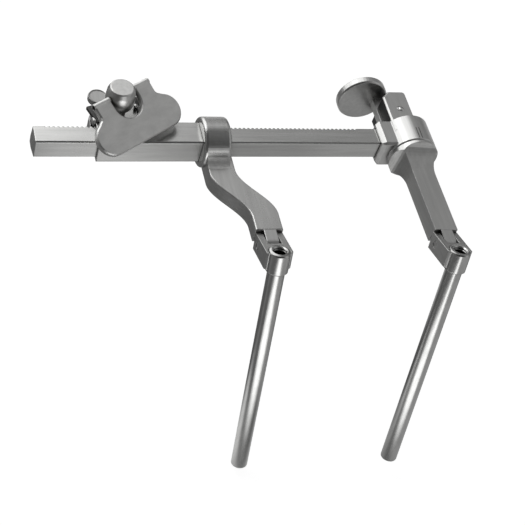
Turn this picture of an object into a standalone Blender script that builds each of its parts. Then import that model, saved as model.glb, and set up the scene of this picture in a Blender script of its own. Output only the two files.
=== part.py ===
"""A bone distractor: a toothed square bar with a fixed head, a slider on it and two hinged guide tubes.

A wing key drives the slider. The bar runs along +X from its free end at the origin. Its teeth face +Y, the arms
reach towards -Y and the guide tubes point down. All sizes are in metres.
"""

import math

import bmesh
import bpy
from mathutils import Matrix, Vector

# Rack bar
BAR_SIDE = 0.0060
BAR_EDGE_CHAMFER = 0.00035
BAR_CROWN = 0.0007
BAR_TIP_HALF = 0.0012
RACK_START = 0.0037
RACK_MARGIN = 0.0064
TOOTH_MODULE = 0.0004
TOOTH_ADDENDUM = 0.00032
TOOTH_DEDENDUM = 0.00040
TOOTH_BACKLASH = 0.00010
PRESSURE_ANGLE = math.radians(25)

# Clearances
SLIDING_GAP = 0.00010
RUNNING_GAP = 0.00005
SEAT_GAP = 0.00015
FLANGE_GAP = 0.00025
SIDE_GAP = 0.00020

# Slider
SLEEVE_START = 0.0173
SLEEVE_END = 0.0531
SLEEVE_WALL = 0.00085
SLEEVE_EDGE_CHAMFER = 0.0004
COLLAR_START = 0.0457
COLLAR_WIDTH = 0.0077
COLLAR_RADIUS = 0.0070
COLLAR_RIM = 0.0009
HOUSING_START = 0.0165
HOUSING_END = 0.0292
HOUSING_OVERLAP = 0.0012
HOUSING_DEPTH = 0.0058
HOUSING_HALF_HEIGHT = 0.0045
HOUSING_CORNER = 0.0014
HOUSING_CHAMFER = 0.0004
COVER_THICKNESS = 0.0013
COVER_SCREW_RADIUS = 0.0007
COVER_SCREW_INSET = 0.0016
COVER_SCREW_LENGTH = 0.0030
DRIVE_SLOT_WIDTH = 0.0003
DRIVE_SLOT_DEPTH = 0.0004

# Pinion, its post and the wing key
PINION_TEETH = 12
PINION_FACE = 0.0042
PINION_X = 0.0229
SHAFT_RADIUS = 0.0018
JOURNAL_RADIUS = 0.0012
POST_BOTTOM = 0.0050
POST_RADIUS = 0.0025
POST_HEAD_RADIUS = 0.0034
POST_HEAD_HEIGHT = 0.0022
POST_CONE = 0.0034
POST_TOP = 0.0153
POST_RIM = 0.0003
POST_WALL = 0.0012
WING_PIN_Z = 0.0127
WING_PIN_RADIUS = 0.0006
WING_PIN_HALF = 0.0090
WING_TURN = math.radians(33)
WING_DROP = math.radians(28)
WING_THICKNESS = 0.0018
WING_SLOT_HALF = 0.00425
WING_SLOT_DEPTH = 0.0069
WING_EAR_HALF = 0.0096
WING_NECK_DEPTH = 0.0036
WING_LOBE_OFFSET = 0.00965
WING_LOBE_RADIUS = 0.0046
WING_LOBE_DEPTH = 0.0092
WING_EDGE = 0.00035

# Ratchet pawl
PAWL_PIVOT_X = 0.0176
PAWL_PIVOT_Y = 0.0066
PAWL_Z = 0.0014
PAWL_THICKNESS = 0.0016
PAWL_BOSS_RADIUS = 0.0012
PAWL_STEM_HALF = 0.0007
PAWL_PIN_RADIUS = 0.0006
PAWL_NOSE_X = 0.0156
PAWL_NOSE_HALF = 0.00035
PAWL_TIP_GAP = 0.00025
PAWL_SLOT_DEPTH = 0.0031
PAWL_PAD_X = 0.0194
PAWL_PAD_Y = 0.0137
PAWL_PAD_RADIUS = 0.0027
PAWL_PAD_BOTTOM = 0.0016
PAWL_PAD_TOP = 0.0034
PAWL_PAD_RIM = 0.0003

# Springs
SPRING_WIRE_RADIUS = 0.00015
LOCK_SPRING_RADIUS = 0.0008
LOCK_SPRING_LENGTH = 0.0024
LOCK_SPRING_TURNS = 3
LOCK_SPRING_INSET = 0.0024

# Fixed head
NECK_LENGTH = 0.0102
NECK_HALF = 0.0047
NECK_EDGE_CHAMFER = 0.00065
MOUTH_CHAMFER = 0.0010
SOCKET_DEPTH = 0.0052
BARREL_X = 0.1088
BARREL_RADIUS = 0.0073
BARREL_FRONT = -0.0052
BARREL_REAR = 0.0044
BARREL_REAR_WALL = 0.0010
BARREL_RIM = 0.0003
CLEVIS_LEFT_WIDTH = 0.0054
CLEVIS_RIGHT_WIDTH = 0.0022
CLEVIS_REAR = 0.0157
CLEVIS_LEFT_CORNER = 0.0022
CLEVIS_RIGHT_CORNER = 0.0009
CLEVIS_HALF_HEIGHT = 0.0054
CLEVIS_CHAMFER = 0.0004

# Lock lever
LEVER_THICKNESS = 0.0024
LEVER_PIVOT_INSET = 0.0016
LEVER_PIVOT_Y = 0.00865
LEVER_PIN_RADIUS = 0.0008
LEVER_BOSS_RADIUS = 0.0019
LEVER_NOSE_OFFSET = 0.0002
LEVER_NOSE_HALF = 0.0007
LEVER_PLATE_FRONT = 0.0055
LEVER_PLATE_INSET = 0.00635
LEVER_PLATE_WIDTH = 0.0040
LEVER_TAB_WIDTH = 0.0011
LEVER_WINDOW_LEFT = 0.0012
LEVER_WINDOW_RIGHT = 0.0016
DISC_INSET = 0.0091
DISC_FRONT = 0.0172
DISC_THICKNESS = 0.0025
DISC_RADIUS = 0.0075
DISC_RIM = 0.0004

# Arms
ARM_THICKNESS = 0.0050
MOVING_ARM_WIDTH = 0.00765
MOVING_ARM_TOP = -0.0006
MOVING_ARM_ROOT_X = 0.05065
MOVING_ARM_ROOT_Y = 0.0035
MOVING_ARM_OFFSET = 0.00875
MOVING_ARM_SWELL = 0.0005
MOVING_ARM_REACH = 0.0341
BEND_START = 0.0099
BEND_END = 0.0258
ARM_EDGE = 0.00025
FIXED_ARM_WIDTH = 0.0070
FIXED_ARM_REACH = 0.0378
FIXED_ARM_SWIVEL = math.radians(3.9)
FLANGE_THICKNESS = 0.00085
FLANGE_BLEND = 0.0080
SPINDLE_RADIUS = 0.0046
SPINDLE_GROOVE_DEPTH = 0.0008
SPINDLE_GROOVE_HALF = 0.0011
SPINDLE_GROOVE_Y = -0.0015
SPINDLE_NOTCHES = 24
SPINDLE_NOTCH_DEPTH = 0.0006
SPINDLE_NOTCH_START = 0.0012
RETAINER_RADIUS = 0.0009
RETAINER_RECESS = 0.0006

# Swivel blocks and guide tubes
TONGUE_WIDTH = 0.00345
TONGUE_NECK = 0.0033
HINGE_PIN_RADIUS = 0.0010
HINGE_PIN_INSET = 0.0001
BLOCK_WIDTH = 0.0074
BLOCK_TOP = 0.0024
BLOCK_BOTTOM = 0.0026
BLOCK_EDGE = 0.0003
EAR_RADIUS = 0.0028
TUBE_OFFSET = 0.0070
TUBE_RADIUS = 0.0024
TUBE_BORE_RADIUS = 0.0016
TUBE_MOUTH = 0.0004
TUBE_LENGTH = 0.0725
TUBE_TILT = math.radians(19.3)
TUBE_END_RADIUS = 0.0006

# Sizes that follow from the ones above
HALF_BAR = BAR_SIDE / 2
NECK_START = BARREL_X - NECK_LENGTH
RACK_END = NECK_START - RACK_MARGIN
CLEVIS_LEFT = BARREL_X - CLEVIS_LEFT_WIDTH
CLEVIS_RIGHT = BARREL_X + CLEVIS_RIGHT_WIDTH
LEVER_PIVOT_X = BARREL_X - LEVER_PIVOT_INSET
LEVER_NOSE_X = BARREL_X + LEVER_NOSE_OFFSET
DISC_X = BARREL_X - DISC_INSET
FLANGE_RADIUS = BARREL_RADIUS
PITCH = math.pi * TOOTH_MODULE
PITCH_RADIUS = PINION_TEETH * TOOTH_MODULE / 2
PITCH_LINE = HALF_BAR - TOOTH_ADDENDUM
PINION_Y = PITCH_LINE + PITCH_RADIUS
BORE_HALF = HALF_BAR + SLIDING_GAP
SLEEVE_HALF = BORE_HALF + SLEEVE_WALL
HOUSING_FRONT = SLEEVE_HALF - HOUSING_OVERLAP
HOUSING_REAR = SLEEVE_HALF + HOUSING_DEPTH
COVER_TOP = -HOUSING_HALF_HEIGHT - SEAT_GAP
COVER_BOTTOM = COVER_TOP - COVER_THICKNESS
POCKET_RADIUS = PITCH_RADIUS + TOOTH_ADDENDUM + SIDE_GAP
HALF_FACE = PINION_FACE / 2
SHAFT_TOP = POST_TOP - POST_WALL - SEAT_GAP
SPINDLE_END = BARREL_REAR - BARREL_REAR_WALL - SEAT_GAP
FLANGE_REAR = BARREL_FRONT - FLANGE_GAP
FLANGE_FRONT = FLANGE_REAR - FLANGE_THICKNESS
HALF_ARM = ARM_THICKNESS / 2
HALF_TONGUE = TONGUE_WIDTH / 2
LEVER_SLOT_HALF = LEVER_THICKNESS / 2 + SIDE_GAP
MOVING_ARM_Z = MOVING_ARM_TOP - HALF_ARM
MOVING_HINGE = (MOVING_ARM_ROOT_X + MOVING_ARM_OFFSET, -MOVING_ARM_REACH, MOVING_ARM_Z)
FIXED_HINGE = (0, -FIXED_ARM_REACH, 0)


def clear_scene():
    for item in list(bpy.data.objects):
        bpy.data.objects.remove(item)


def steel(name, tone, roughness):
    """A stainless steel finish: tone is its grey value and roughness how dull it is."""
    finish = bpy.data.materials.get(name) or bpy.data.materials.new(name)
    finish.use_nodes = True
    shader = finish.node_tree.nodes["Principled BSDF"]
    shader.inputs["Base Color"].default_value = (tone, tone, tone * 0.98, 1)
    shader.inputs["Metallic"].default_value = 1.0
    shader.inputs["Roughness"].default_value = roughness
    return finish


def finish_mesh(name, mesh, material=None, smooth_angle=35):
    """Puts a bmesh in the scene as one object with outward normals."""
    bmesh.ops.remove_doubles(mesh, verts=mesh.verts, dist=1e-8)
    bmesh.ops.recalc_face_normals(mesh, faces=mesh.faces)
    data = bpy.data.meshes.new(name)
    mesh.to_mesh(data)
    mesh.free()
    made = bpy.data.objects.new(name, data)
    bpy.context.scene.collection.objects.link(made)
    if material:
        data.materials.append(material)
        data.shade_smooth()
        data.set_sharp_from_angle(angle=math.radians(smooth_angle))
    return made


def satin_piece(name, mesh):
    return finish_mesh(name, mesh, steel("satin_steel", 0.58, 0.32))


def bright_piece(name, mesh):
    return finish_mesh(name, mesh, steel("bright_steel", 0.72, 0.16))


def prism(points, low, high, axis="Z", chamfer=0.0):
    """Extrudes a closed outline from low to high, with both rims chamfered.

    The outline's points are (x, y), or (x, z) for the Y axis and (y, z) for the X axis.
    """
    place = {
        "Z": lambda a, b, level: (a, b, level),
        "Y": lambda a, b, level: (a, level, b),
        "X": lambda a, b, level: (level, a, b),
    }[axis]
    mesh = bmesh.new()
    base = mesh.faces.new([mesh.verts.new(place(a, b, low)) for a, b in points])
    raised = bmesh.ops.extrude_face_region(mesh, geom=[base])
    lifted = [item for item in raised["geom"] if isinstance(item, bmesh.types.BMVert)]
    shift = Vector(place(0, 0, high)) - Vector(place(0, 0, low))
    bmesh.ops.translate(mesh, verts=lifted, vec=shift)
    if chamfer:
        caps = [face for face in mesh.faces if len(face.verts) == len(points) > 4]
        rims = [edge for face in caps for edge in face.edges]
        bmesh.ops.bevel(mesh, geom=rims, offset=chamfer, segments=1, affect="EDGES")
    return mesh


def box(low, high):
    (x0, y0, z0), (x1, y1, z1) = low, high
    return prism([(x0, y0), (x1, y0), (x1, y1), (x0, y1)], z0, z1)


def clipped_square(half, clip):
    """A square outline about the origin with clipped corners."""
    near = half - clip
    quarter = [(half, near), (near, half)]
    points = []
    for _ in range(4):
        points += quarter
        quarter = [(-b, a) for a, b in quarter]
    return points


def arc(centre, radius, start, end, steps=8):
    """Points along an arc, its angles in degrees and both ends included."""
    turns = [math.radians(start + (end - start) * i / steps) for i in range(steps + 1)]
    return [(centre[0] + radius * math.cos(t), centre[1] + radius * math.sin(t)) for t in turns]


def rounded_box(low, high, radius):
    """A rectangular outline with round corners."""
    (x0, y0), (x1, y1) = low, high
    corners = [
        ((x1 - radius, y1 - radius), 0),
        ((x0 + radius, y1 - radius), 90),
        ((x0 + radius, y0 + radius), 180),
        ((x1 - radius, y0 + radius), 270),
    ]
    return [point for centre, start in corners for point in arc(centre, radius, start, start + 90, 5)]


def turned(profile, axis="Z", centre=(0, 0, 0), steps=40):
    """Spins a closed profile of (radius, height) points, which may touch the axis but not cross it."""
    mesh = bmesh.new()
    ring = [mesh.verts.new((radius, 0, height)) for radius, height in profile]
    on_axis = {vert for vert, (radius, _) in zip(ring, profile) if not radius}
    pairs = zip(ring, ring[1:] + ring[:1])
    edges = [mesh.edges.new(pair) for pair in pairs if not on_axis.issuperset(pair)]
    bmesh.ops.spin(
        mesh, geom=ring + edges, axis=(0, 0, 1), cent=(0, 0, 0), steps=steps, angle=math.tau
    )
    bmesh.ops.remove_doubles(mesh, verts=mesh.verts, dist=1e-7)
    turn = {
        "Z": Matrix.Identity(4),
        "Y": Matrix.Rotation(-math.pi / 2, 4, "X"),
        "X": Matrix.Rotation(math.pi / 2, 4, "Y"),
    }[axis]
    bmesh.ops.transform(mesh, matrix=Matrix.Translation(centre) @ turn, verts=mesh.verts)
    return mesh


def rod(radius, low, high, axis="Z", centre=(0, 0, 0), chamfer=0.0, steps=24):
    """A round rod from low to high along an axis, with chamfered ends."""
    profile = [(0, low), (radius - chamfer, low), (radius, low + chamfer)]
    profile += [(radius, high - chamfer), (radius - chamfer, high), (0, high)]
    if not chamfer:
        profile = [(0, low), (radius, low), (radius, high), (0, high)]
    return turned(profile, axis, centre, steps)


def shape_with(target, mesh, operation, label):
    """Adds a live Boolean with a shape that the render leaves out."""
    tool = finish_mesh(f"{target.name}_{label}", mesh)
    tool.hide_render = True
    tool.display_type = "WIRE"
    step = target.modifiers.new(label, "BOOLEAN")
    step.operation = operation
    step.object = tool


def cut(target, mesh, label):
    shape_with(target, mesh, "DIFFERENCE", label)


def add(target, mesh, label):
    shape_with(target, mesh, "UNION", label)


def keep(target, mesh, label):
    shape_with(target, mesh, "INTERSECT", label)


def join_by_manifold(target):
    """Switches a piece's Booleans to the other solver, where the exact one leaves open edges."""
    for step in target.modifiers:
        step.solver = "MANIFOLD"


def set_origin(target, point):
    """Moves an object's origin to a point and leaves its shape where it is."""
    target.data.transform(Matrix.Translation(-Vector(point)))
    target.location = point


def pivot(name, point, rotation=(0, 0, 0), parent=None):
    """An empty on a joint's axis, whose frame the pieces about it are modelled in."""
    made = bpy.data.objects.new(name, None)
    made.location = point
    made.rotation_euler = rotation
    made.empty_display_size = POST_TOP / 4
    made.parent = parent
    bpy.context.scene.collection.objects.link(made)
    return made


def carry(parent, *pieces):
    """Parents pieces that were modelled in the parent's frame, with the hidden shapes that form them."""
    for piece in pieces:
        piece.parent = parent
        for step in piece.modifiers:
            step.object.parent = parent


def coil(name, radius, length, turns, start):
    """A compression spring along +Y, from the middle of its first end."""
    data = bpy.data.curves.new(name, "CURVE")
    data.dimensions = "3D"
    data.bevel_depth = SPRING_WIRE_RADIUS
    data.bevel_resolution = 1
    data.use_fill_caps = True
    data.materials.append(steel("spring_steel", 0.50, 0.25))
    steps = 12 * turns
    path = data.splines.new("POLY")
    path.points.add(steps)
    for i, point in enumerate(path.points):
        turn = math.tau * turns * i / steps
        along = SPRING_WIRE_RADIUS + (length - 2 * SPRING_WIRE_RADIUS) * i / steps
        offset = Vector((radius * math.cos(turn), along, radius * math.sin(turn)))
        point.co = (*(Vector(start) + offset), 1)
    made = bpy.data.objects.new(name, data)
    bpy.context.scene.collection.objects.link(made)


def tooth_gap_half(level):
    """Half the width of a rack gap at a height above the pitch line."""
    return PITCH / 4 + TOOTH_BACKLASH / 2 + level * math.tan(PRESSURE_ANGLE)


def rack_comb():
    """What is milled off the bar's rear face to leave its teeth. One gap is centred opposite the pinion."""
    root = PITCH_LINE - TOOTH_DEDENDUM
    mouth = HALF_BAR + SIDE_GAP / 2
    first = math.ceil((RACK_START - PINION_X) / PITCH)
    last = math.floor((RACK_END - PINION_X) / PITCH)
    half_mouth = tooth_gap_half(mouth - PITCH_LINE)
    half_root = tooth_gap_half(root - PITCH_LINE)
    points = [(PINION_X + first * PITCH - half_mouth, BAR_SIDE)]
    for i in range(first, last + 1):
        x = PINION_X + i * PITCH
        points += [(x - half_mouth, mouth), (x - half_root, root)]
        points += [(x + half_root, root), (x + half_mouth, mouth)]
    points.append((PINION_X + last * PITCH + half_mouth, BAR_SIDE))
    return prism(points, -BAR_SIDE, BAR_SIDE)


def rack_bar():
    """The toothed bar, with a low four-sided point at its free end."""
    end = NECK_START + SOCKET_DEPTH - SEAT_GAP
    mesh = prism(clipped_square(HALF_BAR, BAR_EDGE_CHAMFER), BAR_CROWN, end, "X")
    face = min(mesh.faces, key=lambda face: face.calc_center_median().x)
    raised = bmesh.ops.extrude_face_region(mesh, geom=[face])
    tip = [item for item in raised["geom"] if isinstance(item, bmesh.types.BMVert)]
    taper = BAR_TIP_HALF / HALF_BAR
    bmesh.ops.scale(mesh, verts=tip, vec=(1, taper, taper))
    bmesh.ops.translate(mesh, verts=tip, vec=(-BAR_CROWN, 0, 0))
    bmesh.ops.delete(mesh, geom=[face], context="FACES_ONLY")
    bar = satin_piece("rack_bar", mesh)
    cut(bar, rack_comb(), "teeth")


def housing_outline():
    low, high = (HOUSING_START, HOUSING_FRONT), (HOUSING_END, HOUSING_REAR)
    return rounded_box(low, high, HOUSING_CORNER)


def cover_screw_places():
    rear = HOUSING_REAR - COVER_SCREW_INSET
    return [(HOUSING_START + COVER_SCREW_INSET, rear), (HOUSING_END - COVER_SCREW_INSET, rear)]


def sleeve():
    """The square sliding tube and the housing behind it, which holds the pinion and the pawl."""
    outline = clipped_square(SLEEVE_HALF, SLEEVE_EDGE_CHAMFER)
    body = satin_piece("sleeve", prism(outline, SLEEVE_START, SLEEVE_END, "X"))
    lump = prism(housing_outline(), -HOUSING_HALF_HEIGHT, HOUSING_HALF_HEIGHT, "Z", HOUSING_CHAMFER)
    add(body, lump, "housing")
    bore = clipped_square(BORE_HALF, BAR_EDGE_CHAMFER / 2)
    cut(body, prism(bore, 0, NECK_START, "X"), "bar_bore")
    centre = (PINION_X, PINION_Y, 0)
    pocket_top = HALF_FACE + SIDE_GAP
    cut(body, rod(POCKET_RADIUS, -BAR_SIDE, pocket_top, centre=centre, steps=40), "pinion_pocket")
    shaft_hole = rod(SHAFT_RADIUS + RUNNING_GAP, 0, BAR_SIDE, centre=centre, steps=32)
    cut(body, shaft_hole, "shaft_hole")
    for i, (x, y) in enumerate(cover_screw_places()):
        top = COVER_BOTTOM + COVER_SCREW_LENGTH + SIDE_GAP * 2
        hole = rod(COVER_SCREW_RADIUS + RUNNING_GAP, -BAR_SIDE, top, centre=(x, y, 0), steps=20)
        cut(body, hole, f"screw_hole_{i}")
    slot_half = PAWL_THICKNESS / 2 + SIDE_GAP
    slot = box(
        (HOUSING_START - SIDE_GAP, HALF_BAR, PAWL_Z - slot_half),
        (HOUSING_START + PAWL_SLOT_DEPTH, HOUSING_REAR + SIDE_GAP, PAWL_Z + slot_half),
    )
    cut(body, slot, "pawl_slot")
    pin_low = PAWL_Z - slot_half - 2 * PAWL_PIN_RADIUS
    hub = (PAWL_PIVOT_X, PAWL_PIVOT_Y, 0)
    cut(body, rod(PAWL_PIN_RADIUS + RUNNING_GAP, pin_low, BAR_SIDE, centre=hub), "pawl_pin_hole")
    join_by_manifold(body)


def housing_cover():
    """The plate that closes the housing from below and carries the pinion's lower journal."""
    outline = housing_outline()
    cover = satin_piece("housing_cover", prism(outline, COVER_BOTTOM, COVER_TOP, "Z", HOUSING_CHAMFER))
    centre = (PINION_X, PINION_Y, 0)
    journal = rod(JOURNAL_RADIUS + RUNNING_GAP, -2 * BAR_SIDE, 0, centre=centre, steps=32)
    cut(cover, journal, "journal_hole")
    for i, place in enumerate(cover_screw_places()):
        hole = rod(COVER_SCREW_RADIUS + RUNNING_GAP, -2 * BAR_SIDE, 0, centre=(*place, 0), steps=20)
        cut(cover, hole, f"screw_hole_{i}")
        grub_screw(f"cover_screw_{i + 1}", COVER_SCREW_RADIUS, COVER_BOTTOM, COVER_SCREW_LENGTH, place)


def grub_screw(name, radius, low, length, place):
    """A headless screw that points up, with a driver slot in its lower end."""
    x, y = place
    screw = bright_piece(name, rod(radius, low, low + length, "Z", (x, y, 0), RUNNING_GAP, 20))
    half_slot = DRIVE_SLOT_WIDTH / 2
    slot = box(
        (x - 2 * radius, y - half_slot, low - DRIVE_SLOT_DEPTH),
        (x + 2 * radius, y + half_slot, low + DRIVE_SLOT_DEPTH),
    )
    cut(screw, slot, "driver_slot")


def arm_bend(reach):
    """The moving arm's sideways shift and extra half width at a distance in front of the bar."""
    part = min(max((reach - BEND_START) / (BEND_END - BEND_START), 0), 1)
    shift = MOVING_ARM_OFFSET * (1 - math.cos(math.pi * part)) / 2
    return shift, MOVING_ARM_SWELL * math.sin(math.pi * part)


def moving_arm_outline():
    steps = 16
    reaches = [BEND_START + (BEND_END - BEND_START) * i / steps for i in range(steps + 1)]
    reaches = [MOVING_ARM_ROOT_Y, *reaches, MOVING_ARM_REACH - TONGUE_NECK]
    left, right = [], []
    for reach in reaches:
        shift, swell = arm_bend(reach)
        middle = MOVING_ARM_ROOT_X + shift
        half = MOVING_ARM_WIDTH / 2 + swell
        left.append((middle - half, -reach))
        right.append((middle + half, -reach))
    return left + right[::-1]


def tongue(hinge):
    """The rounded end of an arm that fits between a swivel block's ears."""
    x, y, z = hinge
    radius = HALF_ARM - RUNNING_GAP
    neck = y + TONGUE_NECK + SEAT_GAP
    outline = [*arc((y, z), radius, 270, 90, 14), (neck, z + radius), (neck, z - radius)]
    return prism(outline, x - HALF_TONGUE, x + HALF_TONGUE, "X")


def hinge_hole(hinge):
    return rod(HINGE_PIN_RADIUS + RUNNING_GAP, -BLOCK_WIDTH, BLOCK_WIDTH, "X", hinge)


def collar_profile():
    """The collar's profile along the bar, with both rims rounded."""
    end = COLLAR_START + COLLAR_WIDTH
    inner = COLLAR_RADIUS - COLLAR_RIM
    left_rim = arc((inner, COLLAR_START + COLLAR_RIM), COLLAR_RIM, -90, 0, 4)
    right_rim = arc((inner, end - COLLAR_RIM), COLLAR_RIM, 0, 90, 4)
    return [(0, COLLAR_START), *left_rim, *right_rim, (0, end)]


def moving_arm():
    """The collar round the sleeve and the arm that bends sideways to its tongue."""
    body = satin_piece("moving_arm", turned(collar_profile(), "X", steps=64))
    low = MOVING_ARM_TOP - ARM_THICKNESS
    add(body, prism(moving_arm_outline(), low, MOVING_ARM_TOP, "Z", ARM_EDGE), "arm")
    add(body, tongue(MOVING_HINGE), "tongue")
    hole = clipped_square(SLEEVE_HALF + SEAT_GAP, SLEEVE_EDGE_CHAMFER)
    cut(body, prism(hole, 0, NECK_START, "X"), "sleeve_hole")
    cut(body, hinge_hole(MOVING_HINGE), "hinge_hole")


def involute(angle):
    return math.tan(angle) - angle


def pinion_outline():
    """Involute teeth about the origin, with the first tooth pointing to -Y, into a gap of the rack."""
    base = PITCH_RADIUS * math.cos(PRESSURE_ANGLE)
    tip = PITCH_RADIUS + TOOTH_ADDENDUM
    half_tooth = (PITCH / 2 - TOOTH_BACKLASH) / (2 * PITCH_RADIUS) + involute(PRESSURE_ANGLE)
    flank = [(PITCH_RADIUS - TOOTH_DEDENDUM, half_tooth)]
    for i in range(5):
        radius = base + (tip - base) * i / 4
        flank.append((radius, half_tooth - involute(math.acos(base / radius))))
    tooth = [(radius, -angle) for radius, angle in flank]
    tooth += [(radius, angle) for radius, angle in reversed(flank)]
    points = []
    for i in range(PINION_TEETH):
        turn = math.tau * i / PINION_TEETH - math.pi / 2
        points += [(r * math.cos(turn + a), r * math.sin(turn + a)) for r, a in tooth]
    return points


def wing_pin_hole():
    hole = rod(WING_PIN_RADIUS + RUNNING_GAP, -WING_PIN_HALF, WING_PIN_HALF, "X")
    place = Matrix.Translation((0, 0, WING_PIN_Z)) @ Matrix.Rotation(WING_TURN, 4, "Z")
    bmesh.ops.transform(hole, matrix=place, verts=hole.verts)
    return hole


def pinion(spin):
    """The gear and its shaft in one piece, which goes into the housing from below."""
    gear = bright_piece("pinion", prism(pinion_outline(), -HALF_FACE, HALF_FACE))
    thrust = -HOUSING_HALF_HEIGHT + SIDE_GAP / 2
    profile = [
        (0, COVER_BOTTOM + SEAT_GAP),
        (JOURNAL_RADIUS, COVER_BOTTOM + SEAT_GAP),
        (JOURNAL_RADIUS, thrust),
        (SHAFT_RADIUS, thrust),
        (SHAFT_RADIUS, SHAFT_TOP),
        (0, SHAFT_TOP),
    ]
    add(gear, turned(profile, steps=32), "shaft")
    cut(gear, wing_pin_hole(), "wing_pin_hole")
    carry(spin, gear)


def post(spin):
    """The post that turns the pinion: a cap over the shaft, held by the wing's pin."""
    cone_top = POST_TOP - POST_HEAD_HEIGHT
    bore = SHAFT_RADIUS + RUNNING_GAP
    profile = [
        (bore, POST_BOTTOM),
        (POST_RADIUS, POST_BOTTOM),
        (POST_RADIUS, cone_top - POST_CONE),
        (POST_HEAD_RADIUS - POST_RIM, cone_top - POST_RIM),
        (POST_HEAD_RADIUS, cone_top + POST_RIM),
        (POST_HEAD_RADIUS, POST_TOP - POST_RIM),
        (POST_HEAD_RADIUS - POST_RIM, POST_TOP),
        (0, POST_TOP),
        (0, POST_TOP - POST_WALL),
        (bore, POST_TOP - POST_WALL),
    ]
    body = bright_piece("drive_post", turned(profile))
    cut(body, wing_pin_hole(), "wing_pin_hole")
    carry(spin, body)


def wing_outline():
    """The key's plate about its pin: two ears, a U-shaped slot for the post and two round lobes."""
    slot = (0, WING_SLOT_HALF - WING_SLOT_DEPTH)
    side = [*arc(slot, WING_SLOT_HALF, 270, 360), (WING_SLOT_HALF, 0), (WING_EAR_HALF, 0)]
    side.append((WING_EAR_HALF, WING_EDGE - WING_NECK_DEPTH))
    side.append((WING_EAR_HALF + WING_EDGE, -WING_EDGE - WING_NECK_DEPTH))
    side += arc((WING_LOBE_OFFSET, -WING_LOBE_DEPTH), WING_LOBE_RADIUS, 68, -90, 16)
    return side + [(-x, y) for x, y in reversed(side[1:])]


def wing(fold):
    """The folding wing key and the pin that it shares with the post."""
    half = WING_THICKNESS / 2
    plate = satin_piece("wing_key", prism(wing_outline(), -half, half, "Z", WING_EDGE))
    for side, label in ((-1, "left_ear"), (1, "right_ear")):
        ends = sorted((side * WING_SLOT_HALF, side * WING_EAR_HALF))
        add(plate, rod(half, *ends, "X"), label)
    reach = 2 * WING_EAR_HALF
    cut(plate, rod(WING_PIN_RADIUS + RUNNING_GAP, -reach, reach, "X"), "pin_hole")
    pin = rod(WING_PIN_RADIUS, -WING_PIN_HALF, WING_PIN_HALF, "X", chamfer=RUNNING_GAP)
    carry(fold, plate, bright_piece("wing_pin", pin))


def strip(start, end, half):
    """The outline of a straight strip between two points."""
    start, end = Vector(start), Vector(end)
    along = (end - start).normalized()
    side = Vector((-along.y, along.x)) * half
    return [tuple(corner) for corner in (start - side, end - side, end + side, start + side)]


def pawl():
    """The ratchet pawl: a lever with a round thumb pad, its nose lifted clear of the rack's teeth."""
    low, high = PAWL_Z - PAWL_THICKNESS / 2, PAWL_Z + PAWL_THICKNESS / 2
    hub = (PAWL_PIVOT_X, PAWL_PIVOT_Y, 0)
    tip = HALF_BAR + PAWL_TIP_GAP
    shin = [
        (PAWL_NOSE_X - PAWL_NOSE_HALF, tip),
        (PAWL_NOSE_X + PAWL_NOSE_HALF, tip),
        (PAWL_PIVOT_X + PAWL_BOSS_RADIUS / 2, PAWL_PIVOT_Y - PAWL_BOSS_RADIUS / 2),
        (PAWL_PIVOT_X - PAWL_BOSS_RADIUS / 2, PAWL_PIVOT_Y + PAWL_BOSS_RADIUS / 2),
    ]
    lever = satin_piece("pawl", prism(shin, low, high))
    add(lever, rod(PAWL_BOSS_RADIUS, low, high, centre=hub), "boss")
    pad_place = (PAWL_PAD_X, PAWL_PAD_Y)
    add(lever, prism(strip(hub[:2], pad_place, PAWL_STEM_HALF), low, high), "stem")
    pad = rod(
        PAWL_PAD_RADIUS, PAWL_PAD_BOTTOM, PAWL_PAD_TOP, "Z", (*pad_place, 0), PAWL_PAD_RIM, 32
    )
    add(lever, pad, "pad")
    cut(lever, rod(PAWL_PIN_RADIUS + RUNNING_GAP, -BAR_SIDE, BAR_SIDE, centre=hub), "pin_hole")
    set_origin(lever, hub)
    pin_low = low - 2 * PAWL_PIN_RADIUS
    bright_piece("pawl_pin", rod(PAWL_PIN_RADIUS, pin_low, HOUSING_HALF_HEIGHT, centre=hub))


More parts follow.
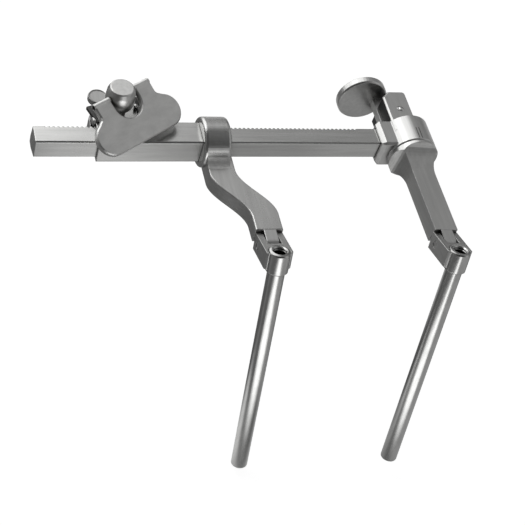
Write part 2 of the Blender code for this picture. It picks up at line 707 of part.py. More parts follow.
def head():
    """The fixed head: square neck, barrel for the spindle and clevis for the lock lever."""
    neck = clipped_square(NECK_HALF, NECK_EDGE_CHAMFER)
    body = satin_piece("fixed_head", prism(neck, NECK_START, BARREL_X, "X", MOUTH_CHAMFER))
    barrel_centre = (BARREL_X, 0, 0)
    barrel = rod(BARREL_RADIUS, BARREL_FRONT, BARREL_REAR, "Y", barrel_centre, BARREL_RIM, 72)
    add(body, barrel, "barrel")
    half = CLEVIS_HALF_HEIGHT
    corner = (CLEVIS_RIGHT - CLEVIS_RIGHT_CORNER, CLEVIS_REAR - CLEVIS_RIGHT_CORNER)
    outline = [
        (CLEVIS_LEFT, 0),
        (CLEVIS_RIGHT, 0),
        *arc(corner, CLEVIS_RIGHT_CORNER, 0, 90, 4),
        (CLEVIS_LEFT + CLEVIS_LEFT_CORNER, CLEVIS_REAR),
        (CLEVIS_LEFT, CLEVIS_REAR - CLEVIS_LEFT_CORNER),
    ]
    add(body, prism(outline, -half, half, "Z", CLEVIS_CHAMFER), "clevis")
    socket = clipped_square(HALF_BAR + SEAT_GAP, BAR_EDGE_CHAMFER / 2)
    cut(body, prism(socket, 0, NECK_START + SOCKET_DEPTH, "X"), "bar_socket")
    bore_end = BARREL_REAR - BARREL_REAR_WALL
    bore = rod(SPINDLE_RADIUS + RUNNING_GAP, 2 * BARREL_FRONT, bore_end, "Y", barrel_centre, steps=48)
    cut(body, bore, "spindle_bore")
    slot = box(
        (0, BARREL_REAR + SIDE_GAP, -LEVER_SLOT_HALF),
        (2 * CLEVIS_RIGHT, 2 * CLEVIS_REAR, LEVER_SLOT_HALF),
    )
    cut(body, slot, "lever_slot")
    window = box(
        (LEVER_NOSE_X - LEVER_WINDOW_LEFT, 0, -LEVER_SLOT_HALF),
        (LEVER_NOSE_X + LEVER_WINDOW_RIGHT, CLEVIS_REAR / 2, LEVER_SLOT_HALF),
    )
    cut(body, window, "lever_window")
    hub = (LEVER_PIVOT_X, LEVER_PIVOT_Y, 0)
    cut(body, rod(LEVER_PIN_RADIUS + RUNNING_GAP, -2 * half, 2 * half, centre=hub), "lever_pin_hole")
    hole_place = (BARREL_X, SPINDLE_GROOVE_Y, 0)
    retainer = rod(RETAINER_RADIUS + RUNNING_GAP, -2 * BARREL_RADIUS, 0, centre=hole_place)
    cut(body, retainer, "retainer_hole")
    join_by_manifold(body)
    low = -BARREL_RADIUS + RETAINER_RECESS
    length = -SPINDLE_RADIUS + SPINDLE_GROOVE_DEPTH - SEAT_GAP - low
    grub_screw("retaining_screw", RETAINER_RADIUS, low, length, hole_place[:2])


def lock_lever():
    """The lever in the clevis, with a nose for the spindle's notches and a round disc for the thumb."""
    half = LEVER_THICKNESS / 2
    hub = (LEVER_PIVOT_X, LEVER_PIVOT_Y, 0)
    nose = strip((LEVER_NOSE_X, SPINDLE_END + 2 * SIDE_GAP), hub[:2], LEVER_NOSE_HALF)
    lever = satin_piece("lock_lever", prism(nose, -half, half))
    add(lever, rod(LEVER_BOSS_RADIUS, -half, half, centre=hub, steps=32), "boss")
    left = BARREL_X - LEVER_PLATE_INSET
    disc_end = DISC_FRONT + DISC_THICKNESS
    rear = (DISC_FRONT + disc_end) / 2
    spring_start = BARREL_REAR + SIDE_GAP + SEAT_GAP
    spring_seat = spring_start + LOCK_SPRING_LENGTH + SEAT_GAP
    plate = [
        (left, LEVER_PLATE_FRONT),
        (left + LEVER_TAB_WIDTH, LEVER_PLATE_FRONT),
        (left + LEVER_TAB_WIDTH, spring_seat),
        (LEVER_PIVOT_X, spring_seat),
        (left + LEVER_PLATE_WIDTH, rear),
        (left, rear),
    ]
    add(lever, prism(plate, -half, half), "plate")
    disc = rod(DISC_RADIUS, DISC_FRONT, disc_end, "Y", (DISC_X, 0, 0), DISC_RIM, 56)
    add(lever, disc, "disc")
    cut(lever, rod(LEVER_PIN_RADIUS + RUNNING_GAP, -2 * half, 2 * half, centre=hub), "pin_hole")
    set_origin(lever, hub)
    reach = CLEVIS_HALF_HEIGHT
    bright_piece("lever_pin", rod(LEVER_PIN_RADIUS, -reach, reach, centre=hub, chamfer=RUNNING_GAP))
    start = (LEVER_PIVOT_X - LOCK_SPRING_INSET, spring_start, 0)
    coil("lock_spring", LOCK_SPRING_RADIUS, LOCK_SPRING_LENGTH, LOCK_SPRING_TURNS, start)


def blended(half_width, end):
    """The outline of an arm's root, which narrows to the bar by a concave round on each side."""
    wide = FLANGE_RADIUS + SIDE_GAP
    turns = [math.radians(90 * i / 12) for i in range(13)]
    curve = [
        (
            wide - (wide - half_width) * math.sin(turn),
            FLANGE_FRONT - FLANGE_BLEND * (1 - math.cos(turn)),
        )
        for turn in turns
    ]
    right = [(wide, FLANGE_REAR), *curve, (half_width, end)]
    return right + [(-x, y) for x, y in reversed(right)]


def spindle_notches():
    """The toothed outline of the spindle's rear end, which the lock lever's nose holds."""
    points = []
    step = math.tau / SPINDLE_NOTCHES
    outer = SPINDLE_RADIUS - RUNNING_GAP
    inner = outer - SPINDLE_NOTCH_DEPTH
    for i in range(SPINDLE_NOTCHES):
        for radius, share in ((outer, 0.1), (outer, 0.5), (inner, 0.6), (inner, 0.9)):
            turn = step * (i + share)
            points.append((radius * math.cos(turn), radius * math.sin(turn)))
    return prism(points, SPINDLE_NOTCH_START - SIDE_GAP, SPINDLE_END, "Y")


def fixed_arm(swivel):
    """The arm on the head: a round flange with scalloped blends, a flat bar and a notched spindle."""
    shoulder = -FIXED_ARM_REACH + TONGUE_NECK
    plan = prism(blended(FIXED_ARM_WIDTH / 2, shoulder), -2 * BARREL_RADIUS, 2 * BARREL_RADIUS)
    arm = satin_piece("fixed_arm", plan)
    side = [(y, z) for z, y in blended(HALF_ARM, 2 * shoulder)]
    keep(arm, prism(side, -2 * BARREL_RADIUS, 2 * BARREL_RADIUS, "X"), "thickness")
    keep(arm, rod(FLANGE_RADIUS, 2 * shoulder, BARREL_RADIUS, "Y", steps=72), "flange")
    add(arm, tongue(FIXED_HINGE), "tongue")
    groove_start = SPINDLE_GROOVE_Y - SPINDLE_GROOVE_HALF
    groove_end = SPINDLE_GROOVE_Y + SPINDLE_GROOVE_HALF
    core = SPINDLE_RADIUS - SPINDLE_GROOVE_DEPTH
    root = FLANGE_REAR - FLANGE_THICKNESS / 2
    profile = [
        (0, root),
        (SPINDLE_RADIUS, root),
        (SPINDLE_RADIUS, groove_start),
        (core, groove_start),
        (core, groove_end),
        (SPINDLE_RADIUS, groove_end),
        (SPINDLE_RADIUS, SPINDLE_NOTCH_START),
        (0, SPINDLE_NOTCH_START),
    ]
    add(arm, turned(profile, "Y", steps=48), "spindle")
    add(arm, spindle_notches(), "notches")
    cut(arm, hinge_hole(FIXED_HINGE), "hinge_hole")
    carry(swivel, arm)


def block_plan():
    """A swivel block from above: square ears at the rear and a round nose about the tube."""
    half = BLOCK_WIDTH / 2
    nose = arc((0, -TUBE_OFFSET), half, 180, 360, 20)
    return [*nose, (half, 2 * EAR_RADIUS), (-half, 2 * EAR_RADIUS)]


def block_side():
    """A swivel block from the side: its ears are round about the hinge pin."""
    ears = arc((0, 0), EAR_RADIUS, -68, 59, 14)
    front = -TUBE_OFFSET - BLOCK_WIDTH
    low, high = -2 * BLOCK_BOTTOM, 2 * BLOCK_TOP
    return [(front, low), (0, low), *ears, (0, high), (front, high)]


def swivel_block(side, hinge):
    """A block that hinges on an arm's tongue and holds a guide tube."""
    plan = prism(block_plan(), -BLOCK_BOTTOM, BLOCK_TOP, "Z", BLOCK_EDGE)
    block = satin_piece(f"{side}_block", plan)
    keep(block, prism(block_side(), -BLOCK_WIDTH, BLOCK_WIDTH, "X"), "ears")
    half_slot = HALF_TONGUE + SIDE_GAP
    floor = -HALF_ARM - 2 * SIDE_GAP
    slot = box((-half_slot, floor, -BLOCK_WIDTH), (half_slot, BLOCK_WIDTH, BLOCK_WIDTH))
    cut(block, slot, "tongue_slot")
    cut(block, hinge_hole((0, 0, 0)), "hinge_hole")
    place = (0, -TUBE_OFFSET, 0)
    socket = rod(TUBE_RADIUS + RUNNING_GAP, -BLOCK_WIDTH, BLOCK_WIDTH, centre=place, steps=40)
    cut(block, socket, "tube_socket")
    half_pin = BLOCK_WIDTH / 2 - HINGE_PIN_INSET
    pin = rod(HINGE_PIN_RADIUS, -half_pin, half_pin, "X", chamfer=RUNNING_GAP)
    carry(hinge, block, bright_piece(f"{side}_hinge_pin", pin))


def guide_tube(side, hinge):
    """A straight tube for a bone pin, flush with the top of its block, with a round lower end."""
    top = BLOCK_TOP - RUNNING_GAP
    bottom = BLOCK_TOP - TUBE_LENGTH
    middle = (TUBE_RADIUS - TUBE_END_RADIUS, bottom + TUBE_END_RADIUS)
    profile = [
        (TUBE_BORE_RADIUS, bottom),
        *arc(middle, TUBE_END_RADIUS, -90, 0, 4),
        (TUBE_RADIUS, top),
        (TUBE_BORE_RADIUS + TUBE_MOUTH, top),
        (TUBE_BORE_RADIUS, top - TUBE_MOUTH),
    ]
    carry(hinge, satin_piece(f"{side}_guide_tube", turned(profile, "Z", (0, -TUBE_OFFSET, 0))))


def build():
    clear_scene()
    spin = pivot("pinion_axis", (PINION_X, PINION_Y, 0))
    fold = pivot("wing_axis", (0, 0, WING_PIN_Z), (WING_DROP, 0, WING_TURN), spin)
    swivel = pivot("fixed_arm_axis", (BARREL_X, 0, 0), (0, FIXED_ARM_SWIVEL, 0))
    left_hinge = pivot("left_hinge_axis", MOVING_HINGE, (-TUBE_TILT, 0, 0))
    right_hinge = pivot("right_hinge_axis", FIXED_HINGE, (-TUBE_TILT, 0, 0), swivel)
    rack_bar()
    sleeve()
    housing_cover()
    moving_arm()
    pinion(spin)
    post(spin)
    wing(fold)
    pawl()
    head()
    lock_lever()
    fixed_arm(swivel)
    for side, hinge in (("left", left_hinge), ("right", right_hinge)):
        swivel_block(side, hinge)
        guide_tube(side, hinge)


build()
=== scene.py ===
import math

import bpy
from mathutils import Matrix, Vector


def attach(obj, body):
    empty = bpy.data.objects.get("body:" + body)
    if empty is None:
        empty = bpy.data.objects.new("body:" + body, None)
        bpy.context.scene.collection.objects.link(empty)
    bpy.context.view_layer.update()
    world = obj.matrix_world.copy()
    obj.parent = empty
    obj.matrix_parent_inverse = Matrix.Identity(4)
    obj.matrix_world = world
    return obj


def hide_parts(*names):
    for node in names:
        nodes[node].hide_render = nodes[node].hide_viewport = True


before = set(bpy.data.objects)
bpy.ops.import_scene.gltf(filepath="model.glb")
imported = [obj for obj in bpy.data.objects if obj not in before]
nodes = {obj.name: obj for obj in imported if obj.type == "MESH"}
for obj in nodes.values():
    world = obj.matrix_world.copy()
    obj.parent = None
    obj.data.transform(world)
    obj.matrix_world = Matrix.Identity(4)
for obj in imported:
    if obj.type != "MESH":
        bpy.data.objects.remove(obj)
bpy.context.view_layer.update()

# Sizes and places are in metres, angles in radians.

# Steel
CORNER_REACH = 0.007            # how far the painted corner shade reaches
CORNER_DEEP, CORNER_OPEN = 0.15, 0.75
LINE_SCALE, LINE_DEPTH = 900.0, 0.00002
CLOUD_SCALE = 110.0
TINT_LOW, TINT_HIGH = (0.30, 0.90), (0.72, 1.06)    # place in the noise, times the tone
WARMTH = 0.985                  # blue, as a share of red and green
OCCLUSION_SAMPLES, EDGE_SAMPLES = 8, 6
ALONG_X, ALONG_Y, ALONG_Z = (0.06, 1.0, 1.0), (1.0, 0.06, 1.0), (1.0, 1.0, 0.06)
PLATE_GRAIN, EVEN_GRAIN = (0.3, 0.3, 1.0), (1.0, 1.0, 1.0)

# Pieces
LATHE_STEPS = 56
EDGE_STEPS = 3
TOOL_LENGTH = 0.02              # cutting tools reach right through
POST_X, POST_Y = 0.0229, 0.00508
BARREL_X, BARREL_RADIUS = 0.1088, 0.0073
TUBE_TILT = math.radians(19.3)
ARM_SWIVEL = math.radians(3.9)
TUBE_Y = -0.0070                # the tube's axis, ahead of its hinge
LEFT_HINGE = Matrix.Translation((0.0594, -0.0341, -0.0031)) @ Matrix.Rotation(-TUBE_TILT, 4, "X")
RIGHT_HINGE = (
    Matrix.Translation((BARREL_X, -0.0378, 0.0))
    @ Matrix.Rotation(ARM_SWIVEL, 4, "Y") @ Matrix.Rotation(-TUBE_TILT, 4, "X")
)
COLLAR_RINGS = [                # radius, height
    (0.00243, -0.0034), (0.00280, -0.0034), (0.00305, -0.0031), (0.00305, 0.00235),
    (0.00285, 0.00272), (0.00215, 0.00288), (0.00195, 0.00275), (0.00164, 0.00240), (0.00243, 0.00240),
]
BLOCK_LOW, BLOCK_HIGH = (-0.0037, -0.0092, -0.0026), (0.0037, 0.0027, 0.0024)
BLOCK_FRONT_Y = -0.009          # edges ahead of this are the front ones
BLOCK_CORNER_CUT = 0.0021
SOCKET_RADIUS = 0.0031
SLOT_WIDTH, SLOT_DEPTH, SLOT_Y = 0.00385, 0.01, 0.0021
PIN_HOLE_RADIUS = 0.00105
FILLET_LOW, FILLET_HIGH = (0.0469, -0.009308, -0.00075), (0.0533, -0.0060, 0.0014)
FILLET_RADIUS, FILLET_CENTRE = 0.0025, (0.05, -0.009308, 0.0019)
POST_RINGS = [
    (0.0022, 0.0050), (0.0022, 0.0080), (0.0030, 0.0086), (0.0036, 0.0093), (0.0039, 0.0102),
    (0.0040, 0.0112), (0.00395, 0.0122), (0.0038, 0.0138), (0.00375, 0.01395),
    (0.0032, 0.01515), (0.0030, 0.0153),
]
# Black boxes of painted shade behind the pinion, at its side and on the housing's flank
PINION_SHADE_LOW, PINION_SHADE_HIGH = (0.0224, 0.0096, 0.0036), (0.0316, 0.0128, 0.0043)
SIDE_SHADE_LOW, SIDE_SHADE_HIGH = (0.0293, 0.0046, 0.0032), (0.0316, 0.0096, 0.0043)
FLANK_LOW, FLANK_HIGH = (0.0, -0.0062, 0.0036), (0.0027, 0.0, 0.00466)
FLANK_PLACE, FLANK_TURN = (0.0153, 0.0084, 0), math.radians(20.4)
PAD_RINGS = [
    (0.0024, 0.0016), (0.0027, 0.0019), (0.0027, 0.0031), (0.00255, 0.0034), (0.0024, 0.0034),
    (0.00225, 0.0032), (0.0001, 0.0032),
]
PAD_PLACE = (0.0194, 0.0137, 0)
STEM_LOW, STEM_HIGH = (-0.0007, -0.0086, 0.0006), (0.0007, 0.0, 0.0022)
STEM_TURN = math.radians(-14.24)
PEG_RINGS = [(0.0006, 0.0043), (0.0006, 0.0058), (0.00045, 0.0061), (0.0001, 0.00618)]
PEG_PLACE = (0.0285, 0.0078, 0)
INDEX_LOW, INDEX_HIGH = (-0.0001, -0.0046, -0.00004), (0.0001, -0.0006, 0.00002)
INDEX_TURNS = (0.0, math.radians(7))
# A thin black sheet of painted shade on the clevis cheek
CHEEK_SHADE_LOW, CHEEK_SHADE_HIGH = (0.10330, 0.0050, -0.0049), (0.10339, 0.0133, 0.0049)
PIN_END_RINGS = [(0.0009, 0.0), (0.0008, 0.00012), (0.0005, 0.00022), (0.0001, 0.00026)]
PIN_END_PLACE = (0.1078, 0.0085, 0.00538)

# Floor. Glossy rays see bands on it, each as start, end, value at the start, value at the end.
FLOOR_Z, FLOOR_SIZE = -0.0702, 4.0
FLOOR_TONE, FLOOR_ROUGH = 0.5, 0.9
FLOOR_GLOW = 0.88               # what the camera sees, added to the light on the floor
STRIP_NEAR_Y = (-0.030, -0.055, 0.0, 1.0)
STRIP_FAR_Y = (-0.060, -0.080, 1.0, 0.25)
STRIP_RIGHT_X = (0.035, 0.090, 0.90, 0.32)
STRIP_LEFT_X = (0.0, 0.025, 0.15, 1.0)
RIGHT_X = (0.085, 0.120, 0.0, 0.35)
RIGHT_Y = (-0.045, -0.070, 0.0, 1.0)
BEHIND_X = (0.052, 0.064, 0.0, 0.36)
BEHIND_Y = (-0.02, 0.01, 0.0, 1.0)
POOL_X, POOL_Y = 0.050, -0.210  # the middle of the round end of the pool ahead
POOL_RADIUS = (0.120, 0.055, 0.0, 2.1)

# World. Glossy rays see a key behind and patches, each as heading, sharpness, strength.
SKY_BASE, SKY_PLAIN = 0.07, 0.25
KEY_X = (0.31, 0.08, 0.0, 1.65)
KEY_Y = (0.10, 0.70, 0.0, 1.0)
SKY = [
    ((0.75, -0.10, 0.66), 10.0, 0.42),
    ((0.75, 0.45, 0.50), 10.0, 0.28),
    ((0.20, 0.97, 0.10), 10.0, 0.08),
    ((-0.90, 0.10, 0.35), 6.0, 0.20),
    ((0.82, -0.50, 0.28), 16.0, 0.50),
    ((0.31, 0.57, 0.76), 40.0, 0.29),
    ((0.30, -0.95, 0.00), 36.0, 1.30),
]
LAMP_PLACE, LAMP_TARGET = (-0.25, 0.30, 0.55), (0.05, 0, 0)
LAMP_SIZE, LAMP_POWER = 0.30, 0.6

# Camera, fitted to the photograph's edges
CAMERA_PLACE = (-0.05013, -0.22418, 0.23972)
CAMERA_RIGHT = (0.94418, -0.22154, 0.24380)
CAMERA_UP = (0.02733, 0.79020, 0.61224)
CAMERA_BACK = (-0.32829, -0.57140, 0.75215)
LENS, SENSOR, CLIP_START = 85.03, 36.0, 0.01


# Nodes

def link(tree, source, target):
    tree.links.new(source, target)


def add_node(tree, kind, **values):
    """A new node. A value goes to the input of its name, or else to the setting."""
    node = tree.nodes.new(kind)
    for key, value in values.items():
        if key in node.inputs:
            node.inputs[key].default_value = value
        else:
            setattr(node, key, value)
    return node


def math_node(tree, operation, first, second=0.0):
    """One sum on two values, each a number or a socket."""
    node = add_node(tree, "ShaderNodeMath", operation=operation)
    for socket, value in zip(node.inputs, (first, second)):
        if isinstance(value, (int, float)):
            socket.default_value = value
        else:
            link(tree, value, socket)
    return node.outputs["Value"]


def product(tree, value, *factors):
    for factor in factors:
        value = math_node(tree, "MULTIPLY", value, factor)
    return value


def map_range(tree, value, start, end, low, high, interpolation="LINEAR"):
    node = add_node(tree, "ShaderNodeMapRange", interpolation_type=interpolation)
    for name, number in (("From Min", start), ("From Max", end), ("To Min", low), ("To Max", high)):
        node.inputs[name].default_value = number
    link(tree, value, node.inputs["Value"])
    return node.outputs["Result"]


def band(tree, value, limits):
    """A soft step from one value to another between two places."""
    return map_range(tree, value, *limits, interpolation="SMOOTHSTEP")


# Materials

def brushed_steel(name, tone, rough, stretch, grain=0.25, smudge=0.06, deepest_shade_share=0.30, ease=0.0003):
    """Satin stainless steel: fine lines of the finishing belt, faint smudges, eased edges, and painted
    shade, where ambient occlusion darkens the colour in corners.

    Deepest shade share is what is left of the colour in the deepest corner, where the painted shade is
    darkest, so 1 leaves corners unshaded.
    """
    material = bpy.data.materials.new(name)
    material.use_nodes = True
    tree = material.node_tree
    shader = tree.nodes["Principled BSDF"]
    shader.inputs["Metallic"].default_value = 1.0
    place = add_node(tree, "ShaderNodeTexCoord")
    lines_map = add_node(tree, "ShaderNodeMapping", Scale=stretch)
    lines = add_node(tree, "ShaderNodeTexNoise", Scale=LINE_SCALE, Detail=3.0, Roughness=0.6)
    clouds = add_node(tree, "ShaderNodeTexNoise", Scale=CLOUD_SCALE, Detail=4.0, Roughness=0.55)
    link(tree, place.outputs["Object"], lines_map.inputs["Vector"])
    link(tree, lines_map.outputs["Vector"], lines.inputs["Vector"])
    link(tree, place.outputs["Object"], clouds.inputs["Vector"])
    tint = add_node(tree, "ShaderNodeValToRGB")
    for element, (position, share) in zip(tint.color_ramp.elements, (TINT_LOW, TINT_HIGH)):
        element.position = position
        element.color = (tone * share, tone * share, tone * share * WARMTH, 1)
    link(tree, lines.outputs["Fac"], tint.inputs["Fac"])
    # Painted shade: ambient occlusion darkens the base colour in corners, in hollows, under things and
    # between parts
    corner = add_node(tree, "ShaderNodeAmbientOcclusion", Distance=CORNER_REACH)
    corner.samples = OCCLUSION_SAMPLES
    painted_corner_shade = map_range(tree, corner.outputs["AO"], CORNER_DEEP, CORNER_OPEN, deepest_shade_share, 1.0)
    shade = add_node(tree, "ShaderNodeMix", data_type="RGBA", blend_type="MULTIPLY")
    shade.inputs["Factor"].default_value = 1.0
    link(tree, tint.outputs["Color"], shade.inputs["A"])
    link(tree, painted_corner_shade, shade.inputs["B"])
    link(tree, shade.outputs["Result"], shader.inputs["Base Color"])
    shine = map_range(tree, clouds.outputs["Fac"], 0.0, 1.0, rough - smudge, rough + smudge)
    link(tree, shine, shader.inputs["Roughness"])
    edge = add_node(tree, "ShaderNodeBevel", Radius=ease)
    edge.samples = EDGE_SAMPLES
    bump = add_node(tree, "ShaderNodeBump", Strength=grain, Distance=LINE_DEPTH)
    link(tree, lines.outputs["Fac"], bump.inputs["Height"])
    link(tree, edge.outputs["Normal"], bump.inputs["Normal"])
    link(tree, bump.outputs["Normal"], shader.inputs["Normal"])
    return material


bar_steel = brushed_steel("satin_bar", 0.56, 0.25, ALONG_X)
arm_steel = brushed_steel("satin_arm", 0.56, 0.28, ALONG_Y)
fixed_arm_steel = brushed_steel("satin_fixed_arm", 0.56, 0.30, ALONG_Y, ease=0.00008)
tube_steel = brushed_steel("turned_tube", 0.46, 0.18, ALONG_Z, grain=0.15, smudge=0.04)
head_steel = brushed_steel("satin_head", 0.58, 0.32, ALONG_Y)
plate_steel = brushed_steel("satin_plate", 0.66, 0.44, PLATE_GRAIN)
post_steel = brushed_steel("turned_post", 0.58, 0.34, EVEN_GRAIN, grain=0.10, smudge=0.05)
block_steel = brushed_steel("satin_block", 0.50, 0.36, ALONG_Y)
# A lighter tone than the arm's and no painted corner shade: painted light, so the fillet's hollow doesn't
# render dark
fillet_painted_light = brushed_steel("fillet_painted_light_steel", 0.72, 0.55, EVEN_GRAIN, deepest_shade_share=1.0)
pawl_steel = brushed_steel("tempered_pawl", 0.42, 0.42, ALONG_Y, grain=0.20)
# Black steel: the barrel's index lines in their own colour, and painted shade on the dark boxes behind the
# pinion, on the housing's flank and on the clevis cheek
black_marks_and_shade = brushed_steel("black_marks_and_shade_steel", 0.06, 0.45, EVEN_GRAIN, grain=0.20)
polished = brushed_steel("polished_steel", 0.66, 0.18, EVEN_GRAIN, grain=0.08, smudge=0.04)
spring_wire = brushed_steel("spring_wire", 0.50, 0.25, EVEN_GRAIN, grain=0.08, smudge=0.04)

# The CAD nodes that aren't listed are polished.
FINISHES = {
    "rack_bar": bar_steel,
    "sleeve": bar_steel,
    "housing_cover": bar_steel,
    "moving_arm": arm_steel,
    "fixed_arm": fixed_arm_steel,
    "fixed_head": head_steel,
    "lock_lever": head_steel,
    "pawl": pawl_steel,
    "pawl_pin": pawl_steel,
    "cover_screw_1": pawl_steel,
    "cover_screw_2": pawl_steel,
    "wing_key": plate_steel,
    "left_block": arm_steel,
    "right_block": arm_steel,
    "left_guide_tube": tube_steel,
    "right_guide_tube": tube_steel,
    "lock_spring": spring_wire,
}
for node in nodes:
    slots = nodes[node].data.materials
    slots.clear()
    slots.append(FINISHES.get(node, polished))


# Making a piece

def pick(piece):
    """Selects one piece alone."""
    bpy.ops.object.select_all(action="DESELECT")
    piece.select_set(True)
    bpy.context.view_layer.objects.active = piece


def begin(kind, **values):
    """A new primitive with nothing else selected."""
    bpy.ops.object.select_all(action="DESELECT")
    getattr(bpy.ops.mesh, kind)(**values)
    return bpy.context.object


def copy_of(piece):
    """A second piece of the same shape, with its own mesh."""
    pick(piece)
    bpy.ops.object.duplicate(linked=False)
    return bpy.context.object


def settle(piece, name, body, material, angle=35):
    """Names a piece, sets it at the origin with its finish and gives it to its body."""
    pick(piece)
    bpy.ops.object.transform_apply(location=True, rotation=True, scale=True)
    bpy.ops.object.shade_smooth_by_angle(angle=math.radians(angle))
    piece.name = name
    piece.data.name = name
    piece.data.materials.clear()
    piece.data.materials.append(material)
    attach(piece, body)


def turned(rings, closed=False):
    """A lathe piece: each ring is pulled from the one before. A closed one joins its last to its first."""
    radius, height = rings[0]
    fill = "NOTHING" if closed else "NGON"
    piece = begin("primitive_circle_add", vertices=LATHE_STEPS, radius=radius, fill_type=fill,
                  location=(0, 0, height))
    bpy.ops.object.transform_apply(location=True)
    bpy.ops.object.mode_set(mode="EDIT")
    bpy.ops.mesh.select_all(action="SELECT")
    for (r0, z0), (r1, z1) in zip(rings, rings[1:]):
        bpy.ops.mesh.extrude_region_move(TRANSFORM_OT_translate={"value": (0, 0, z1 - z0)})
        scale = r1 / r0
        bpy.ops.transform.resize(value=(scale, scale, 1), center_override=(0, 0, z1))
    if closed:
        bpy.ops.mesh.select_mode(type="EDGE")
        bpy.ops.mesh.select_all(action="DESELECT")
        bpy.ops.mesh.select_non_manifold()
        bpy.ops.mesh.bridge_edge_loops()
    bpy.ops.mesh.select_all(action="SELECT")
    bpy.ops.mesh.normals_make_consistent(inside=False)
    bpy.ops.object.mode_set(mode="OBJECT")
    return piece


def block(low, high, bevel=0.0):
    """A box between two corners, its edges eased."""
    low, high = Vector(low), Vector(high)
    piece = begin("primitive_cube_add", size=1.0, location=(low + high) / 2)
    piece.scale = high - low
    bpy.ops.object.transform_apply(location=True, rotation=True, scale=True)
    if bevel:
        bpy.ops.object.mode_set(mode="EDIT")
        bpy.ops.mesh.select_all(action="SELECT")
        bpy.ops.mesh.bevel(offset=bevel, segments=EDGE_STEPS, affect="EDGES")
        bpy.ops.object.mode_set(mode="OBJECT")
    return piece


def cut_away(piece, tool):
    """Takes the tool's shape out of a piece."""
    pick(piece)
    step = piece.modifiers.new("cut", "BOOLEAN")
    step.operation = "DIFFERENCE"
    step.object = tool
    bpy.ops.object.modifier_apply(modifier=step.name)
    bpy.data.objects.remove(tool, do_unlink=True)
    return piece


def drill(radius, steps, place, sideways=False):
    """A round cutting tool along Z, or along X."""
    turn = (0, math.pi / 2, 0) if sideways else (0, 0, 0)
    return begin("primitive_cylinder_add", vertices=steps, radius=radius, depth=TOOL_LENGTH,
                 location=place, rotation=turn)


# The pieces that the frame doesn't carry

def swivel_block():
    """A swivel block with flat cheeks and cut front corners, slotted for the arm's tongue."""
    piece = block(BLOCK_LOW, BLOCK_HIGH)
    bpy.ops.object.mode_set(mode="EDIT")
    bpy.ops.mesh.select_mode(type="EDGE")
    bpy.ops.mesh.select_all(action="DESELECT")
    bpy.ops.object.mode_set(mode="OBJECT")
    verts = piece.data.vertices
    for edge in piece.data.edges:
        ends = [verts[index].co for index in edge.vertices]
        upright = abs(ends[0].x - ends[1].x) < 1e-6
        edge.select = upright and all(end.y < BLOCK_FRONT_Y for end in ends)
    bpy.ops.object.mode_set(mode="EDIT")
    bpy.ops.mesh.bevel(offset=BLOCK_CORNER_CUT, segments=1, affect="EDGES")
    bpy.ops.object.mode_set(mode="OBJECT")
    cut_away(piece, drill(SOCKET_RADIUS, LATHE_STEPS, (0, TUBE_Y, 0)))
    slot = begin("primitive_cube_add", size=1.0, location=(0, SLOT_Y, 0))
    slot.scale = (SLOT_WIDTH, SLOT_DEPTH, TOOL_LENGTH)
    cut_away(piece, slot)
    return cut_away(piece, drill(PIN_HOLE_RADIUS, 32, (0, 0, 0), sideways=True))


def guide_tops():
    """On each tube, the thick ring that it is brazed into and the block that swings on the arm."""
    ring, cheeks = turned(COLLAR_RINGS, closed=True), swivel_block()
    sides = (
        ("left", LEFT_HINGE, ring, cheeks),
        ("right", RIGHT_HINGE, copy_of(ring), copy_of(cheeks)),
    )
    for side, hinge, collar, swivel in sides:
        collar.matrix_world = hinge @ Matrix.Translation((0, TUBE_Y, 0))
        settle(collar, f"{side}_tube_collar", f"{side}_guide", tube_steel, 25)
        swivel.matrix_world = hinge
        settle(swivel, f"{side}_hinge_block", f"{side}_guide", block_steel, 25)
        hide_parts(f"{side}_block")


def arm_fillet():
    """The hollow weld fillet where the sliding arm leaves its collar."""
    piece = block(FILLET_LOW, FILLET_HIGH)
    cut_away(piece, drill(FILLET_RADIUS, 128, FILLET_CENTRE, sideways=True))
    settle(piece, "collar_fillet", "slider", fillet_painted_light, 30)


def post_head():
    """The drive post above the housing: a head that widens under its flat top and is round below."""
    piece = turned(POST_RINGS)
    piece.location = (POST_X, POST_Y, 0)
    settle(piece, "post_head", "drive", post_steel, 25)
    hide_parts("drive_post")


def housing_painted_shade():
    """Painted shade: black boxes behind the pinion, at its side, and on the housing's flank, where shade
    falls.
    """
    settle(block(PINION_SHADE_LOW, PINION_SHADE_HIGH, 0.0002), "pinion_painted_shade", "slider", black_marks_and_shade)
    settle(block(SIDE_SHADE_LOW, SIDE_SHADE_HIGH, 0.0003), "side_painted_shade", "slider", black_marks_and_shade)
    flank = block(FLANK_LOW, FLANK_HIGH, 0.0001)
    flank.rotation_euler = (0, 0, FLANK_TURN)
    flank.location = FLANK_PLACE
    settle(flank, "flank_painted_shade", "slider", black_marks_and_shade)


def pawl_thumb():
    """The pawl's thumb piece: a round pad with a raised rim on a flat stem."""
    pad = turned(PAD_RINGS)
    pad.location = PAD_PLACE
    settle(pad, "pawl_pad", "pawl_lever", pawl_steel, 30)
    stem = block(STEM_LOW, STEM_HIGH, 0.0002)
    stem.rotation_euler = (0, 0, STEM_TURN)
    stem.location = PAD_PLACE
    settle(stem, "pawl_stem", "pawl_lever", pawl_steel)
    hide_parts("pawl")


def spring_peg():
    """A small polished peg beside the painted shade behind the pinion, for its spring."""
    peg = turned(PEG_RINGS)
    peg.location = PEG_PLACE
    settle(peg, "spring_peg", "slider", polished, 50)


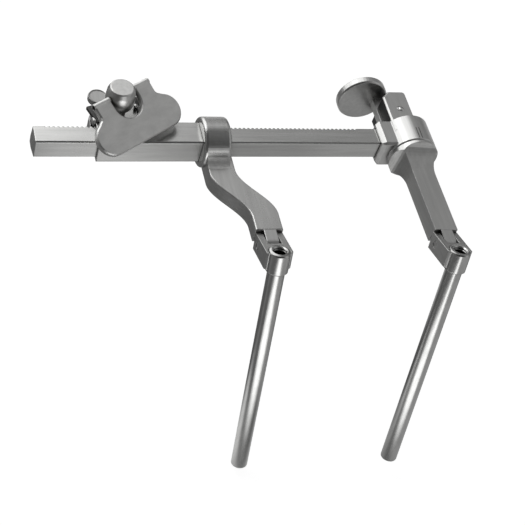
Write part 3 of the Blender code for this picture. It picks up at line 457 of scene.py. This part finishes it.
def index_lines():
    """Two short black lines on the barrel that show the arm's turn, barely proud of it."""
    first = block(INDEX_LOW, INDEX_HIGH)
    for number, (line, turn) in enumerate(zip((first, copy_of(first)), INDEX_TURNS), start=1):
        line.rotation_euler = (0, turn, 0)
        line.location = (BARREL_X + BARREL_RADIUS * math.sin(turn), 0, BARREL_RADIUS * math.cos(turn))
        settle(line, f"index_line_{number}", "rack_frame", black_marks_and_shade)


def clevis_painted_shade():
    """A thin black sheet on the clevis cheek behind the lock lever: painted shade."""
    settle(block(CHEEK_SHADE_LOW, CHEEK_SHADE_HIGH), "clevis_painted_shade", "rack_frame", black_marks_and_shade)


def peened_pin_end():
    """The peened end of the lock lever's pin, a bright low dome on the clevis."""
    dome = turned(PIN_END_RINGS)
    dome.location = PIN_END_PLACE
    settle(dome, "peened_pin_end", "rack_frame", polished, 60)


guide_tops()
arm_fillet()
post_head()
housing_painted_shade()
pawl_thumb()
spring_peg()
index_lines()
clevis_painted_shade()
peened_pin_end()


# Floor, light and camera

def floor_white():
    """A pale floor: white to the camera, with the object's faint shadow. Glossy rays see a strip
    ahead of the bar, a pool of light ahead of the tubes, and dimmer bands at the right and behind."""
    material = bpy.data.materials.new("floor_white")
    material.use_nodes = True
    tree = material.node_tree
    shader = tree.nodes["Principled BSDF"]
    shader.inputs["Base Color"].default_value = (FLOOR_TONE, FLOOR_TONE, FLOOR_TONE, 1)
    shader.inputs["Roughness"].default_value = FLOOR_ROUGH
    shader.inputs["Specular IOR Level"].default_value = 0.0
    place = add_node(tree, "ShaderNodeTexCoord")
    parts = add_node(tree, "ShaderNodeSeparateXYZ")
    link(tree, place.outputs["Object"], parts.inputs["Vector"])
    x, y = parts.outputs["X"], parts.outputs["Y"]
    strip = product(tree, band(tree, y, STRIP_NEAR_Y), band(tree, y, STRIP_FAR_Y),
                    band(tree, x, STRIP_RIGHT_X), band(tree, x, STRIP_LEFT_X))
    across = math_node(tree, "SUBTRACT", x, POOL_X)
    ahead = math_node(tree, "MAXIMUM", math_node(tree, "SUBTRACT", y, POOL_Y), 0.0)
    reach = math_node(tree, "ADD", product(tree, across, across), product(tree, ahead, ahead))
    far = band(tree, math_node(tree, "SQRT", reach), POOL_RADIUS)
    right = product(tree, band(tree, x, RIGHT_X), band(tree, y, RIGHT_Y))
    behind = product(tree, band(tree, x, BEHIND_X), band(tree, y, BEHIND_Y))
    pool = math_node(tree, "ADD", math_node(tree, "MAXIMUM", strip, right), far)
    pool = math_node(tree, "ADD", pool, behind)
    path = add_node(tree, "ShaderNodeLightPath")
    steel_sees = product(tree, path.outputs["Is Glossy Ray"], pool)
    seen = math_node(tree, "MAXIMUM", path.outputs["Is Camera Ray"], path.outputs["Is Transmission Ray"])
    seen = product(tree, seen, FLOOR_GLOW)
    shader.inputs["Emission Color"].default_value = (1, 1, 1, 1)
    link(tree, math_node(tree, "MAXIMUM", seen, steel_sees), shader.inputs["Emission Strength"])
    return material


def add_floor():
    floor = begin("primitive_plane_add", size=FLOOR_SIZE, location=(0, 0, FLOOR_Z))
    floor.name = "floor"
    floor.data.materials.append(floor_white())


def sky_patch(tree, direction, heading, power, amount):
    """A soft patch of light about a heading."""
    dot = add_node(tree, "ShaderNodeVectorMath", operation="DOT_PRODUCT")
    dot.inputs[1].default_value = Vector(heading).normalized()
    link(tree, direction, dot.inputs[0])
    facing = math_node(tree, "MAXIMUM", dot.outputs["Value"], 0.0)
    return product(tree, math_node(tree, "POWER", facing, power), amount)


def add_world():
    """A studio: white to the camera, a plain level to matt surfaces, the key and patches to the steel."""
    world = bpy.data.worlds.new("studio")
    bpy.context.scene.world = world
    world.use_nodes = True
    tree = world.node_tree
    background = tree.nodes["Background"]
    background.inputs["Color"].default_value = (1, 1, 1, 1)
    place = add_node(tree, "ShaderNodeTexCoord")
    parts = add_node(tree, "ShaderNodeSeparateXYZ")
    direction = place.outputs["Generated"]
    link(tree, direction, parts.inputs["Vector"])
    key = product(tree, band(tree, parts.outputs["X"], KEY_X), band(tree, parts.outputs["Y"], KEY_Y))
    level = math_node(tree, "ADD", key, SKY_BASE)
    for heading, power, amount in SKY:
        level = math_node(tree, "ADD", level, sky_patch(tree, direction, heading, power, amount))
    path = add_node(tree, "ShaderNodeLightPath")
    steel_sees = product(tree, path.outputs["Is Glossy Ray"], level)
    seen = math_node(tree, "MAXIMUM", path.outputs["Is Camera Ray"], path.outputs["Is Transmission Ray"])
    lit = product(tree, path.outputs["Is Diffuse Ray"], SKY_PLAIN)
    total = math_node(tree, "MAXIMUM", math_node(tree, "MAXIMUM", seen, lit), steel_sees)
    link(tree, total, background.inputs["Strength"])


def add_lamp():
    data = bpy.data.lights.new("key", "AREA")
    data.shape = "RECTANGLE"
    data.size = data.size_y = LAMP_SIZE
    data.energy = LAMP_POWER
    lamp = bpy.data.objects.new("key", data)
    lamp.location = LAMP_PLACE
    lamp.rotation_euler = (Vector(LAMP_TARGET) - Vector(LAMP_PLACE)).to_track_quat("-Z", "Y").to_euler()
    bpy.context.scene.collection.objects.link(lamp)
    lamp.visible_camera = False


def add_camera():
    data = bpy.data.cameras.new("camera")
    data.lens = LENS
    data.sensor_width = SENSOR
    data.sensor_fit = "HORIZONTAL"
    data.clip_start = CLIP_START
    camera = bpy.data.objects.new("camera", data)
    turn = Matrix((CAMERA_RIGHT, CAMERA_UP, CAMERA_BACK)).transposed().to_4x4()
    camera.matrix_world = Matrix.Translation(CAMERA_PLACE) @ turn
    bpy.context.scene.collection.objects.link(camera)
    bpy.context.scene.camera = camera


add_camera()
add_floor()
add_world()
add_lamp()
bpy.context.scene.view_settings.view_transform = "Standard"
